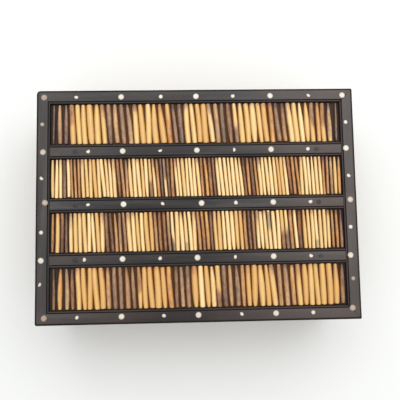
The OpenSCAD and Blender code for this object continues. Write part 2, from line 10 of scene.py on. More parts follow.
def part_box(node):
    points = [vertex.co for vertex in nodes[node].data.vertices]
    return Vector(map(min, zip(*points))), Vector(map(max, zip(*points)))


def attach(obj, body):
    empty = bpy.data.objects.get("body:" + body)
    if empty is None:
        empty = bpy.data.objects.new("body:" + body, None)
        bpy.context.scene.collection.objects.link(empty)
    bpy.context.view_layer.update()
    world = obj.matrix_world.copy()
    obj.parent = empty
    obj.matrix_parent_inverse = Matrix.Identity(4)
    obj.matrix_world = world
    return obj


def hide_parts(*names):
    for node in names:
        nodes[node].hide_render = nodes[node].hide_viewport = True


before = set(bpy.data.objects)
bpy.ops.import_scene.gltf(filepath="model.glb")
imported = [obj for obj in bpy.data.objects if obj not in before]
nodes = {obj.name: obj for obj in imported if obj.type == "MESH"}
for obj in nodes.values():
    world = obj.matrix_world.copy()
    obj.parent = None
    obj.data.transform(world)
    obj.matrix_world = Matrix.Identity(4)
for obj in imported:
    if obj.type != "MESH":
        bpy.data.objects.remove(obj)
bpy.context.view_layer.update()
MM = 0.001
# Without a seed, vector noise differs from run to run
noise.seed_set(5)


# ---------------------------------------------------------------- node materials

class Maker:
    """Adds nodes to one material and links them with short calls."""

    def __init__(self, name):
        self.mat = bpy.data.materials.new(name)
        self.mat.use_nodes = True
        self.tree = self.mat.node_tree
        self.tree.nodes.clear()
        self.shader = self.tree.nodes.new("ShaderNodeBsdfPrincipled")
        out = self.tree.nodes.new("ShaderNodeOutputMaterial")
        self.tree.links.new(self.shader.outputs[0], out.inputs[0])

    @classmethod
    def copy_of(cls, material, name):
        """Goes on from a copy of a finished material."""
        maker = cls.__new__(cls)
        maker.mat = material.copy()
        maker.mat.name = name
        maker.tree = maker.mat.node_tree
        maker.shader = next(n for n in maker.tree.nodes if n.type == "BSDF_PRINCIPLED")
        return maker

    def put(self, socket, value):
        """Links a socket to another node's output, or sets its value."""
        if isinstance(value, bpy.types.NodeSocket):
            self.tree.links.new(value, socket)
        elif value is not None:
            socket.default_value = value

    def set(self, **values):
        """Sets the shader's sockets: base_color is Base Color, and so on."""
        for name, value in values.items():
            words = name.replace("_", " ").title().replace("Ior", "IOR")
            self.put(self.shader.inputs[words], value)

    def coords(self, scale=(1, 1, 1), turn=(0, 0, 0), shift=(0, 0, 0)):
        """Object coordinates in metres, scaled, turned and shifted."""
        source = self.tree.nodes.new("ShaderNodeTexCoord")
        mapping = self.tree.nodes.new("ShaderNodeMapping")
        mapping.inputs["Scale"].default_value = scale
        mapping.inputs["Rotation"].default_value = turn
        self.put(mapping.inputs["Location"], shift)
        self.tree.links.new(source.outputs["Object"], mapping.inputs["Vector"])
        return mapping.outputs[0]

    def axis(self, index):
        """One object coordinate, 0 for x, 1 for y and 2 for z."""
        source = self.tree.nodes.new("ShaderNodeTexCoord")
        split = self.tree.nodes.new("ShaderNodeSeparateXYZ")
        self.tree.links.new(source.outputs["Object"], split.inputs[0])
        return split.outputs[index]

    def vector(self, x, y, z):
        node = self.tree.nodes.new("ShaderNodeCombineXYZ")
        for socket, value in zip(node.inputs, (x, y, z)):
            self.put(socket, value)
        return node.outputs[0]

    def noise(self, vector, scale, detail=4.0, rough=0.55, warp=0.0):
        node = self.tree.nodes.new("ShaderNodeTexNoise")
        node.inputs["Scale"].default_value = scale
        node.inputs["Detail"].default_value = detail
        node.inputs["Roughness"].default_value = rough
        node.inputs["Distortion"].default_value = warp
        self.put(node.inputs["Vector"], vector)
        return node.outputs["Fac"]

    def spots(self, vector, scale):
        node = self.tree.nodes.new("ShaderNodeTexVoronoi")
        node.inputs["Scale"].default_value = scale
        self.put(node.inputs["Vector"], vector)
        return node.outputs["Distance"]

    def attribute(self, name):
        """A value that a piece's mesh holds at each point."""
        node = self.tree.nodes.new("ShaderNodeAttribute")
        node.attribute_name = name
        node.attribute_type = "GEOMETRY"
        return node.outputs["Fac"]

    def math(self, operation, a, b=0.0, clamp=False):
        node = self.tree.nodes.new("ShaderNodeMath")
        node.operation = operation
        node.use_clamp = clamp
        self.put(node.inputs[0], a)
        self.put(node.inputs[1], b)
        return node.outputs[0]

    def span(self, value, low, high, to_low=0.0, to_high=1.0):
        """Maps low..high to to_low..to_high, held at both ends."""
        node = self.tree.nodes.new("ShaderNodeMapRange")
        self.put(node.inputs["Value"], value)
        numbers = {"From Min": low, "From Max": high, "To Min": to_low, "To Max": to_high}
        for socket, number in numbers.items():
            node.inputs[socket].default_value = number
        return node.outputs[0]

    def ramp(self, value, *stops):
        """Colour ramp with stops of (place, colour)."""
        node = self.tree.nodes.new("ShaderNodeValToRGB")
        points = node.color_ramp.elements
        while len(points) < len(stops):
            points.new(0.5)
        for point, (place, colour) in zip(points, stops):
            point.position = place
            point.color = (*colour, 1)
        self.put(node.inputs[0], value)
        return node.outputs[0]

    def mix(self, share, a, b, blend="MIX"):
        node = self.tree.nodes.new("ShaderNodeMix")
        node.data_type = "RGBA"
        node.blend_type = blend
        self.put(node.inputs["Factor"], share)
        for socket, colour in ((node.inputs["A"], a), (node.inputs["B"], b)):
            is_link = isinstance(colour, bpy.types.NodeSocket)
            target = [s for s in node.inputs if s.name == socket.name and s.type == "RGBA"][0]
            self.put(target, colour if is_link else (*colour, 1))
        return [s for s in node.outputs if s.type == "RGBA"][0]

    def bump(self, height, distance, strength=1.0):
        node = self.tree.nodes.new("ShaderNodeBump")
        node.inputs["Distance"].default_value = distance
        node.inputs["Strength"].default_value = strength
        self.put(node.inputs["Height"], height)
        self.put(self.shader.inputs["Normal"], node.outputs[0])


# Colours of horn: pale, light and golden quills, and the amber painted as shade on their flanks
HORN_PALE = (0.78, 0.58, 0.29)
HORN_LIGHT = (0.67, 0.445, 0.165)
HORN_GOLD = (0.60, 0.35, 0.115)
FLANK_SHADE_AMBER = (0.56, 0.33, 0.11)
HORN_SPECK = (0.2, 0.11, 0.05)
HORN_SMUDGE = (0.25, 0.215, 0.125)

# Colours of ebony: the pores, the body of the wood, its paler streaks and its brown patches
EBONY_DEEP = (0.012, 0.010, 0.010)
EBONY_MID = (0.026, 0.023, 0.024)
EBONY_PALE = (0.056, 0.047, 0.046)
EBONY_WARM = (0.060, 0.041, 0.034)
EBONY_DUST = (0.16, 0.145, 0.13)
# The near black of painted shade and painted dark reflection on the ebony, with some dirt
EBONY_SHADE_AND_GRIME = (0.010, 0.008, 0.008)

# Colours of bone: its low and high cream, its stain, its pores and the dirt round its rim
BONE_LOW = (0.60, 0.555, 0.455)
BONE_HIGH = (0.70, 0.67, 0.585)
BONE_STAIN = (0.30, 0.195, 0.135)
BONE_PORE = (0.3, 0.2, 0.12)
BONE_RIM = (0.2, 0.15, 0.11)

# Colours of the carcass: growth lines from dark to pale, pores and darker clouds
WOOD_DARK = (0.20, 0.085, 0.035)
WOOD_MID = (0.31, 0.145, 0.06)
WOOD_PALE = (0.40, 0.21, 0.095)
WOOD_PORE = (0.10, 0.042, 0.02)
WOOD_CLOUD = (0.17, 0.075, 0.035)

# Stain of the bed under the quills, and of its two ends on the lid
BED = (0.080, 0.032, 0.011)
BED_ENDS = (0.040, 0.025, 0.018)
# How far from the middle of the lid the stain starts and ends turning into that of the ends
BED_TURNS = (92 * MM, 102 * MM)


def along(axis, fine, coarse):
    """Scale that stretches a texture along one axis, which is then the grain."""
    return tuple(coarse if i == axis else fine for i in range(3))


def ebony(name, axis, seed):
    """Oiled ebony: nearly black, with brown streaks along the grain, rubbed patches and dust."""
    m = Maker(name)
    place = (seed * 0.37, seed * 0.61, seed * 0.17)
    streak = m.noise(m.coords(along(axis, 1, 0.04), shift=place), 430, 7, 0.66, 0.3)
    band = m.noise(m.coords(along(axis, 1, 0.1), shift=place), 140, 3, 0.5, 0.6)
    patch = m.noise(m.coords(along(axis, 1, 0.5), shift=place), 34, 3, 0.55)
    grain = m.math("ADD", m.math("MULTIPLY", streak, 0.5), m.math("MULTIPLY", band, 0.5))
    base = m.ramp(grain, (0.38, EBONY_DEEP), (0.5, EBONY_MID), (0.61, EBONY_PALE))
    warm = m.math("ADD", m.span(patch, 0.5, 0.72, 0, 0.45), m.attribute("e_warm"), clamp=True)
    base = m.mix(warm, base, EBONY_WARM)
    dust = m.span(m.noise(m.coords(shift=place), 900, 2, 0.5), 0.66, 0.74, 0, 0.3)
    base = m.mix(dust, base, EBONY_DUST)
    # e_edge paints shade and dark reflection, with some dirt: it darkens the wood, takes away specular and
    # adds roughness
    shade_and_grime = m.attribute("e_edge")
    m.set(base_color=m.mix(shade_and_grime, base, EBONY_SHADE_AND_GRIME))
    m.set(specular_ior_level=m.math("SUBTRACT", 0.5, m.math("MULTIPLY", shade_and_grime, 0.5)))
    rough = m.math("ADD", m.span(patch, 0.3, 0.7, 0.36, 0.5), m.span(streak, 0.3, 0.7, 0, 0.1))
    m.set(roughness=m.math("ADD", rough, m.math("MULTIPLY", shade_and_grime, 0.3), clamp=True))
    m.set(ior=1.5)
    m.bump(m.math("ADD", streak, m.math("MULTIPLY", dust, 0.5)), 0.00012, 0.5)
    return m.mat


def quill_horn():
    """Quill: cream or golden horn that passes into brown, with fine lines along it and amber shade painted
    on its flanks.

    q_u runs across a quill from -1 to 1 and q_t along it from 0 to 1. q_dark says how brown it is, q_tone
    how golden and q_grey how smudged, and q_seed makes its lines its own.
    """
    m = Maker("quill_horn")
    u, t, seed = m.attribute("q_u"), m.attribute("q_t"), m.attribute("q_seed")
    dark, tone = m.attribute("q_dark"), m.attribute("q_tone")
    for_lines = m.vector(m.math("MULTIPLY", u, 2.6), m.math("MULTIPLY", t, 1.6), seed)
    lines = m.noise(for_lines, 1.6, 5, 0.62)
    for_clouds = m.vector(m.math("MULTIPLY", u, 0.6), m.math("MULTIPLY", t, 5.0), seed)
    clouds = m.noise(for_clouds, 1.5, 3, 0.55)
    specks = m.noise(m.coords(), 1500, 3, 0.6)
    shift = m.math("ADD", m.span(lines, 0.3, 0.7, -0.13, 0.13), m.span(clouds, 0.3, 0.7, -0.1, 0.1))
    level = m.math("ADD", dark, m.math("MULTIPLY", shift, m.span(dark, 0, 0.4, 0.35, 1)), clamp=True)
    warm = m.math("ADD", tone, m.span(lines, 0.3, 0.7, -0.25, 0.25), clamp=True)
    light = m.ramp(warm, (0.0, HORN_PALE), (0.5, HORN_LIGHT), (1.0, HORN_GOLD))
    grey_brown = m.ramp(
        level, (0.3, (0.56, 0.34, 0.15)), (0.55, (0.355, 0.215, 0.122)),
        (0.8, (0.18, 0.113, 0.078)), (1.0, (0.078, 0.052, 0.043)),
    )
    red_brown = m.ramp(
        level, (0.3, (0.60, 0.32, 0.105)), (0.55, (0.44, 0.21, 0.075)),
        (0.8, (0.22, 0.10, 0.045)), (1.0, (0.085, 0.042, 0.028)),
    )
    brown = m.mix(m.span(tone, 0.35, 0.9), grey_brown, red_brown)
    colour = m.mix(m.span(level, 0.08, 0.42), light, brown)
    colour = m.mix(m.span(specks, 0.62, 0.72, 0, 0.16), colour, HORN_SPECK)
    colour = m.mix(m.attribute("q_grey"), colour, HORN_SMUDGE)
    # Painted shade: each quill turns a darker amber towards both its edges
    flank_shade = m.math("POWER", m.math("ABSOLUTE", u), 2.6)
    m.set(base_color=m.mix(flank_shade, colour, m.mix(0.9, colour, FLANK_SHADE_AMBER, "MULTIPLY")))
    m.set(roughness=m.span(clouds, 0.3, 0.7, 0.27, 0.42))
    m.set(ior=1.54, specular_ior_level=0.32)
    m.bump(m.math("ADD", lines, m.math("MULTIPLY", specks, 0.4)), 0.00007, 0.5)
    return m.mat


def bone():
    """Polished bone, cream with tiny brown pores. b_stain browns it and b_ring darkens its rim."""
    m = Maker("bone")
    stain = m.attribute("b_stain")
    ring = m.attribute("b_ring")
    cloud = m.noise(m.coords(), 700, 4, 0.6)
    pores = m.span(m.spots(m.coords(), 2600), 0.12, 0.3, 1, 0)
    base = m.ramp(cloud, (0.3, BONE_LOW), (0.7, BONE_HIGH))
    base = m.mix(stain, base, BONE_STAIN)
    base = m.mix(m.math("MULTIPLY", pores, 0.3), base, BONE_PORE)
    m.set(base_color=m.mix(ring, base, BONE_RIM))
    m.set(roughness=m.span(cloud, 0.3, 0.7, 0.3, 0.48))
    m.set(ior=1.54, subsurface_weight=0.08, subsurface_scale=0.001)
    m.bump(m.math("SUBTRACT", cloud, pores), 0.00005, 0.5)
    return m.mat


def carcass(name, axis, seed):
    """Waxed reddish-brown hardwood with growth lines along the grain."""
    m = Maker(name)
    place = (seed * 0.29, seed * 0.53, seed * 0.71)
    rings = m.noise(m.coords(along(axis, 1, 0.05), shift=place), 95, 3, 0.5, 1.2)
    fibre = m.noise(m.coords(along(axis, 1, 0.03), shift=place), 1400, 3, 0.6)
    cloud = m.noise(m.coords(shift=place), 22, 3, 0.5)
    pores = m.span(fibre, 0.6, 0.72, 0, 1)
    base = m.ramp(rings, (0.3, WOOD_DARK), (0.5, WOOD_MID), (0.7, WOOD_PALE))
    base = m.mix(m.math("MULTIPLY", pores, 0.45), base, WOOD_PORE)
    base = m.mix(m.span(cloud, 0.35, 0.7, 0, 0.35), base, WOOD_CLOUD)
    m.set(base_color=base, ior=1.48)
    m.set(roughness=m.math("ADD", m.span(cloud, 0.3, 0.7, 0.36, 0.5), m.math("MULTIPLY", pores, 0.2)))
    m.bump(m.math("SUBTRACT", rings, pores), 0.00012, 0.4)
    return m.mat


def stained(material, name, index, limit, up=True, ends=None):
    """A copy of a carcass wood, stained dark past a limit along one axis, where quills are glued on it.

    Between the two ends, distances from the middle, the stain turns to the darker one of the bed's ends.
    """
    m = Maker.copy_of(material, name)
    colour = m.shader.inputs["Base Color"].links[0].from_socket
    place = m.axis(index)
    past = m.math("GREATER_THAN" if up else "LESS_THAN", place, limit)
    bed = m.mix(m.span(m.math("ABSOLUTE", m.axis(0)), *ends), BED, BED_ENDS) if ends else BED
    m.set(base_color=m.mix(past, colour, bed))
    m.set(specular_ior_level=m.math("SUBTRACT", 0.5, m.math("MULTIPLY", past, 0.42)))
    return m.mat


def metal(name, base, dark):
    """Aged metal of a base colour, with a dark film and fine scratches."""
    m = Maker(name)
    cloud = m.noise(m.coords(), 260, 4, 0.6)
    scratch = m.noise(m.coords((1, 0.08, 0.4), turn=(0.2, 0.1, 0.5)), 3000, 3, 0.6)
    film = m.span(cloud, 0.42, 0.66, 0, 0.75)
    m.set(base_color=m.mix(film, base, dark), metallic=1.0)
    rough = m.math("ADD", m.span(cloud, 0.3, 0.7, 0.26, 0.5), m.span(scratch, 0.4, 0.7, 0, 0.12))
    m.set(roughness=rough)
    m.bump(scratch, 0.00003, 0.5)
    return m.mat


EBONY_X = ebony("ebony_along_x", 0, 1)
EBONY_Y = ebony("ebony_along_y", 1, 2)
EBONY_Z = ebony("ebony_upright", 2, 3)
HORN = quill_horn()
BONE = bone()
BRASS = metal("aged_brass", (0.62, 0.43, 0.17), (0.26, 0.155, 0.07))
SCREW_BRASS = metal("screw_brass", (0.45, 0.31, 0.14), (0.11, 0.075, 0.045))
STEEL = metal("dull_steel", (0.42, 0.40, 0.38), (0.2, 0.15, 0.12))


# ---------------------------------------------------------------- CAD solids as guides

def solids(node):
    """The separate solids of a CAD node, as arrays of points."""
    bm = bmesh.new()
    bm.from_mesh(nodes[node].data)
    bmesh.ops.remove_doubles(bm, verts=bm.verts, dist=1e-6)
    left, found = set(bm.verts), []
    while left:
        stack, group = [left.pop()], []
        while stack:
            v = stack.pop()
            group.append(v.co[:])
            for e in v.link_edges:
                o = e.other_vert(v)
                if o in left:
                    left.remove(o)
                    stack.append(o)
        found.append(np.array(sorted(group)))
    bm.free()
    return sorted(found, key=lambda p: tuple(np.round(p.mean(0), 4)))


# Edges where faces meet at more than this are crisp on formed pieces and rounded on CAD nodes
SHARP = math.radians(38)


def piece(name, bm, material, body, *replaced, slot):
    """Turns a bmesh into a piece that rides on a body and stands for CAD nodes."""
    bmesh.ops.recalc_face_normals(bm, faces=bm.faces)
    for edge in bm.edges:
        edge.smooth = edge.calc_face_angle(0) < SHARP
    mesh = bpy.data.meshes.new(name)
    bm.to_mesh(mesh)
    bm.free()
    mesh.materials.append(material)
    obj = bpy.data.objects.new(name, mesh)
    bpy.context.scene.collection.objects.link(obj)
    for polygon in mesh.polygons:
        polygon.use_smooth = True
    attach(obj, body)
    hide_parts(*replaced)
    return obj


# ---------------------------------------------------------------- quills

# The quills of each row from left to right, a letter for each. The letters are explained in KINDS.
ROW_QUILLS = {
    "lid_quills_row_1": "ntdf lllll dtdt lgllg odd llggl tdd bllllg odd llpl foftn",
    "lid_quills_row_2":
        "gpld lttt gggglplll dtt lllglbl tdfdo llgpppl todd lppppll dtdt lllplggl dtt llppll ottgo",
    "lid_quills_row_3":
        "tgdd lglgplgl ddttt llgpgg tddt bllsp lttod ggpppgg tdt lpluppbb tld gllsgll tod",
    "lid_quills_row_4": "notd ggggg tddtd fgggg odtd gpglb dtdt gglgl ttt lglllgg d",
}
# Kinds of quill: its width in its room, how brown it is at its back end, middle and front end, and how
# golden. l, p and g are light, pale and golden. t, o and d are tan, orange-brown and dark, and n is narrow
# and nearly black. b is brown at the front only, and f from the back to the middle. s and u are light ones
# with a grey smudge.
KINDS = {
    "l": (1.08, 0.36, 0.05, 0.00, 0.42),
    "p": (1.05, 0.12, 0.00, 0.00, 0.06),
    "g": (1.08, 0.38, 0.10, 0.08, 0.85),
    "t": (0.83, 0.66, 0.51, 0.45, 0.38),
    "o": (0.88, 0.55, 0.42, 0.32, 0.95),
    "d": (0.84, 0.90, 0.73, 0.75, 0.30),
    "b": (1.00, 0.20, 0.05, 0.74, 0.50),
    "f": (1.00, 0.74, 0.66, 0.04, 0.75),
    "s": (1.05, 0.20, 0.03, 0.00, 0.20),
    "u": (1.00, 0.20, 0.03, 0.00, 0.10),
    "n": (0.50, 0.95, 0.90, 0.92, 0.20),
}
# Kinds with a grey smudge: from where it fades in to where it has faded out, and how strong it is
SMUDGES = {"s": (0.76, 0.82, 1.2, 1.3, 0.62), "u": (0.0, 0.08, 0.38, 0.62, 0.85)}
DARK_KINDS = ("t", "o", "d", "n")
# The panels on the sides repeat these runs, cut at a random place
PANEL_RUNS = ("dtd", "lllgll", "dtto", "llpll", "tdd", "glllg", "dotd", "llgl")
# How much more golden the light quills of each row are than their letters say, and how much redder and
# browner the dark ones
ROW_TONES = {
    "lid_quills_row_1": (0.08, 0.0, 0.0), "lid_quills_row_2": (-0.3, 0.35, 0.06),
    "lid_quills_row_3": (-0.26, 0.35, 0.08), "lid_quills_row_4": (0.12, 0.1, 0.0),
}
# How many quills at the left and right ends of each row taper more and are a little shorter
THIN_ENDS = {
    "lid_quills_row_1": (3, 2), "lid_quills_row_2": (1, 2),
    "lid_quills_row_3": (1, 3), "lid_quills_row_4": (4, 2),
}
QUILL_RINGS = 18
QUILL_ARC = 12
# A quill's blunt end is the first share of its width, which grows by the second within the third share of
# its half width
TIP, TIP_GROWTH, TIP_REACH = 0.72, 0.28, 0.3
# How much of its room a quill can be short of at an end, in mm, before chance lessens it
SHORTENINGS_MM = (0, 0, 0, 0.3, 0.8)
AT_EDGE_SHORTER = 0.4 * MM
AT_EDGE_WIDTH = 0.96
QUILL_LAYERS = ("q_u", "q_t", "q_dark", "q_tone", "q_seed", "q_grey")


def slope(value, low, high):
    """0 below low, 1 above high and smooth between them."""
    share = min(1, max(0, (value - low) / (high - low)))
    return share * share * (3 - 2 * share)


def panel_letters(count, rng):
    """Letters for the quills of a panel on the box's side."""
    runs = "".join(PANEL_RUNS) * 2
    start = rng.randrange(len(runs) // 2)
    return (runs[start:] + runs)[:count]


def smudge(kind, t):
    """How grey a quill is at t."""
    if kind not in SMUDGES:
        return 0
    start, full, fading, end, strength = SMUDGES[kind]
    return strength * slope(t, start, full) * (1 - slope(t, fading, end))


def browning(kind, towards, rng):
    """How brown a quill is: a function of t, 0 at its back end to 1 at its front end, and u across it.

    A light quill beside a dark one is browner: towards is -1 or 1 if that one is on its left or right.
    """
    _, back, middle, front, _ = KINDS[kind]
    dark = kind in DARK_KINDS
    back, front = back + rng.uniform(-0.15, 0.2), front + rng.uniform(-0.03, 0.06)
    middle += rng.uniform(-0.08, 0.08) if dark else rng.uniform(-0.03, 0.05)
    drift = rng.uniform(-0.32, 0.32) if dark else rng.uniform(-0.04, 0.02)
    side = rng.uniform(-0.16, 0.16) if dark else rng.choice((0, 0, -0.15, 0.15, -0.4, 0.4))
    place, lean = rng.uniform(0.5, 0.72), rng.uniform(-0.1, 0.1)
    back_reach, front_reach = rng.uniform(0.1, 0.26), rng.uniform(0.06, 0.14)
    if towards and not dark:
        back, back_reach = back + rng.uniform(0.1, 0.35), rng.uniform(0.25, 0.75)
        side = towards * rng.uniform(0.1, 0.5)

    def level(t, u):
        across = side * u * abs(u)
        if kind in "bf":
            share = 1 / (1 + math.exp((place - t + lean * u) / 0.05))
            return min(1, max(0, middle + (front - middle) * share + across))
        to_back, to_front = max(0, 1 - t / back_reach), max(0, 1 - (1 - t) / front_reach)
        here = middle + drift * (t - 0.5) + across
        here += (back - middle) * to_back ** 1.3 + (front - middle) * to_front ** 1.3
        return min(1, max(0, here))

    return level


def swelling(at_edge, rng):
    """How wide a quill is along its length, as a function of t: most taper a little, some to a point."""
    back, front = rng.uniform(0.06, 0.24), rng.uniform(0.0, 0.1)
    if rng.random() < 0.22:
        back = rng.uniform(0.35, 0.6)
    if rng.random() < 0.14:
        front = rng.uniform(0.2, 0.5)
    if at_edge:
        back, front = rng.uniform(0.35, 0.62), rng.uniform(0.1, 0.35)
    back_reach, front_reach = rng.uniform(0.35, 0.75), rng.uniform(0.25, 0.5)
    wave, ripple = rng.uniform(0, 6.28), rng.uniform(0.0, 0.03)

    def width(t):
        to_back, to_front = max(0, 1 - t / back_reach), max(0, 1 - (1 - t) / front_reach)
        rippled = 1 + ripple * math.sin(wave + 11 * t)
        return (1 - back * to_back ** 1.7) * (1 - front * to_front ** 2) * rippled

    return width


def quill_room(points, out):
    """Where a CAD quill lies: its middle, three directions, half length, half width, bed height and rise."""
    out = np.array(out, float)
    heights = points @ out
    flat = points - np.outer(heights, out)
    middle = (flat.max(0) + flat.min(0)) / 2
    _, _, axes = np.linalg.svd(flat - flat.mean(0))
    run = axes[0] - out * (axes[0] @ out)
    run /= np.linalg.norm(run)
    if run @ np.array((0, -1, -1)) < 0:
        run = -run
    across = np.cross(out, run)
    half_l, half_w = np.ptp(flat @ run) / 2, np.ptp(flat @ across) / 2
    return middle, out, run, across, half_l, half_w, heights.min(), np.ptp(heights)


def add_quill(bm, layers, room, kind, towards, at_edge, tone_shifts, rng):
    """One quill in the room of a CAD quill: a round, tapered and slightly bent rod on a flat bed."""
    middle, out, run, across, half_l, half_w, bed, rise = room
    share, tone = KINDS[kind][0] * (AT_EDGE_WIDTH if at_edge else 1), KINDS[kind][4]
    dark = kind in DARK_KINDS
    tone = min(1, max(0, tone + rng.gauss(0, 0.17) + (tone_shifts[1] if dark else tone_shifts[0])))
    level, width = browning(kind, towards, rng), swelling(at_edge, rng)
    deeper = tone_shifts[2] if dark else 0
    edge_short = AT_EDGE_SHORTER if at_edge else 0
    short = [rng.choice(SHORTENINGS_MM) * MM * rng.random() + edge_short for _ in range(2)]
    bend, wave, seed = rng.uniform(-0.24, 0.24) * half_w, rng.uniform(0, 6.28), rng.uniform(0, 90)
    share *= rng.uniform(0.9, 1.0) + 0.03 * slope(half_w, 1.6 * MM, 2.1 * MM)
    lean = rng.uniform(-0.22, 0.22) * half_w
    start, end = -half_l + short[0], half_l - short[1]
    rings = []
    for i in range(QUILL_RINGS + 1):
        t = 0.5 - 0.5 * math.cos(math.pi * i / QUILL_RINGS)
        from_tip = min(t, 1 - t) * (end - start)
        tip = TIP + TIP_GROWTH * math.sqrt(1 - max(0, 1 - from_tip / (TIP_REACH * half_w)) ** 2)
        r = half_w * share * width(t) * tip
        h = rise * (0.62 + 0.38 * width(t) * tip) * (0.9 + 0.1 * share)
        h = max(h, r)
        sink = min(0.98, (h - r) / r)
        first = -math.asin(sink)
        aside = bend * math.sin(wave + 3 * t) + lean * (t - 0.5)
        centre = middle + run * (start + (end - start) * t) + across * aside
        ring = []
        for k in range(QUILL_ARC + 1):
            angle = first + (math.pi - 2 * first) * k / QUILL_ARC
            u = math.cos(angle)
            v = bm.verts.new(centre + across * r * u + out * (bed + h - r + r * math.sin(angle)))
            values = (u, t, min(1, level(t, u) + deeper), tone, seed, smudge(kind, t))
            for name, value in zip(QUILL_LAYERS, values):
                v[layers[name]] = value
            ring.append(v)
        rings.append(ring)
    for a, b in zip(rings, rings[1:]):
        for k in range(-1, QUILL_ARC):
            bm.faces.new((a[k], a[k + 1], b[k + 1], b[k]))
    bm.faces.new(rings[0])
    bm.faces.new(rings[-1][::-1])


def quill_panel(node, name, out, body, seed):
    """All the quills of a CAD node, as one piece."""
    rng = random.Random(seed)
    index = 0 if out[0] == 0 else 1
    rooms = sorted(solids(node), key=lambda points: points[:, index].mean())
    letters = ROW_QUILLS.get(node, "").replace(" ", "") or panel_letters(len(rooms), rng)
    bm = bmesh.new()
    layers = {layer: bm.verts.layers.float.new(layer) for layer in QUILL_LAYERS}
    left, right = THIN_ENDS.get(node, (0, 0))
    tone_shifts = ROW_TONES.get(node, (0, 0, 0))
    for i, points in enumerate(rooms):
        at_edge = i < left or len(rooms) - 1 - i < right
        towards = (letters[i + 1:i + 2] in DARK_KINDS) - (letters[max(0, i - 1)] in DARK_KINDS)
        add_quill(bm, layers, quill_room(points, out), letters[i], towards, at_edge, tone_shifts, rng)
    return piece(name, bm, HORN, body, node, slot="quill")


for row in range(1, 5):
    row_node = f"lid_quills_row_{row}"
    assert len(ROW_QUILLS[row_node].replace(" ", "")) == len(solids(row_node)), row_node
    quill_panel(row_node, f"quills_lid_{row}", (0, 0, 1), "lid", 40 + row)
SIDES_OUT = {"front": (0, -1, 0), "right": (1, 0, 0), "back": (0, 1, 0), "left": (-1, 0, 0)}
for number, (side, out) in enumerate(SIDES_OUT.items()):
    quill_panel("quills_" + side, "quills_" + side + "_wall", out, "box", 60 + number)


# ---------------------------------------------------------------- ebony strips

def fillet(corners, steps=4):
    """Outline from corners of (u, v, radius), each rounded with an arc."""
    outline = []
    count = len(corners)
    for i, (u, v, radius) in enumerate(corners):
        here = Vector((u, v))
        if radius == 0:
            outline.append(here)
            continue
        back = (Vector(corners[i - 1][:2]) - here).normalized()
        ahead = (Vector(corners[(i + 1) % count][:2]) - here).normalized()
        for k in range(steps + 1):
            share = k / steps
            turn = share * math.pi / 2
            to_back, to_ahead = 1 - math.sin(turn), 1 - math.cos(turn)
            outline.append(here + back * radius * to_back + ahead * radius * to_ahead)
    return outline


STRIP_LAYERS = ("e_edge", "e_warm")
# A dark reflection is painted on the outer rounded edges of the lid: fully as far in as the first of these,
# and not at all past the second
EDGE_REFLECTION_BAND = (0.9 * MM, 2.3 * MM)
# That painted dark reflection runs down the outer face, and ends between these two heights from the top
EDGE_REFLECTION_BAND_LOW = (-2.2 * MM, -0.9 * MM)
# Shade is painted on a strip under its top, with some dirt in its quirk, fully from this far under the top
QUIRK_SHADE_AND_DIRT_DEPTH = 0.45 * MM
# Only this much of each end of a strip is squeezed to its mitre
MITRE_REACH = 25 * MM
# A strip has a ring of points at each of these steps, more of them this far from a mitred end, and two close
# together at each edge of a notch
STATION_STEP = 2 * MM
END_STATIONS_MM = (0.3, 0.7, 1.2, 3, 5)
NOTCH_STEP = 0.01 * MM
# How uneven a strip's surface is
STRIP_ROUGHNESS = 0.07 * MM
# Waves and ripples to a metre in that unevenness, along a strip and across it, and how high the ripples are
# beside the waves
WAVES = (28, 90)
RIPPLES = (260, 300)
RIPPLE_SHARE = 0.35
# The unevenness dies out over this length at the ends
SETTLING = 6 * MM


def rounded(x, u, length, radius):
    """Moves a point of a strip's outer part inwards, so that the corner at its end is round in plan."""
    over, deep = abs(x) - (length / 2 - radius), radius - u
    if over <= 0 or deep <= 0:
        return x, u
    share = deep / math.hypot(over, deep)
    return math.copysign(length / 2 - radius + over * share, x), radius - deep * share


def strip_stations(length, mitred, notches):
    """Places along a strip where it has a ring of points."""
    steps = round(length / STATION_STEP)
    stations = [length * (k / steps - 0.5) for k in range(steps + 1)]
    if mitred:
        stations += [end * (length / 2 - d * MM) for end in (-1, 1) for d in END_STATIONS_MM]
    for edge in (x for notch in notches for x in notch):
        stations += [edge - NOTCH_STEP, edge + NOTCH_STEP]
    return sorted(set(stations))


def strip_shade_and_grime(mitred, u, under_top):
    """How dark a strip is painted, from how far in a point is and its height from the top.

    A strip with mitres has a dark reflection painted along its outer edge, and every strip has shade painted
    on its beads, quirks and lower faces, with some dirt in its quirks.
    """
    near, far = EDGE_REFLECTION_BAND
    if mitred and u < far:
        return slope(far - u, 0, far - near) * slope(under_top, *EDGE_REFLECTION_BAND_LOW)
    return 0.95 * min(1, -under_top / QUIRK_SHADE_AND_DIRT_DEPTH) ** 0.8


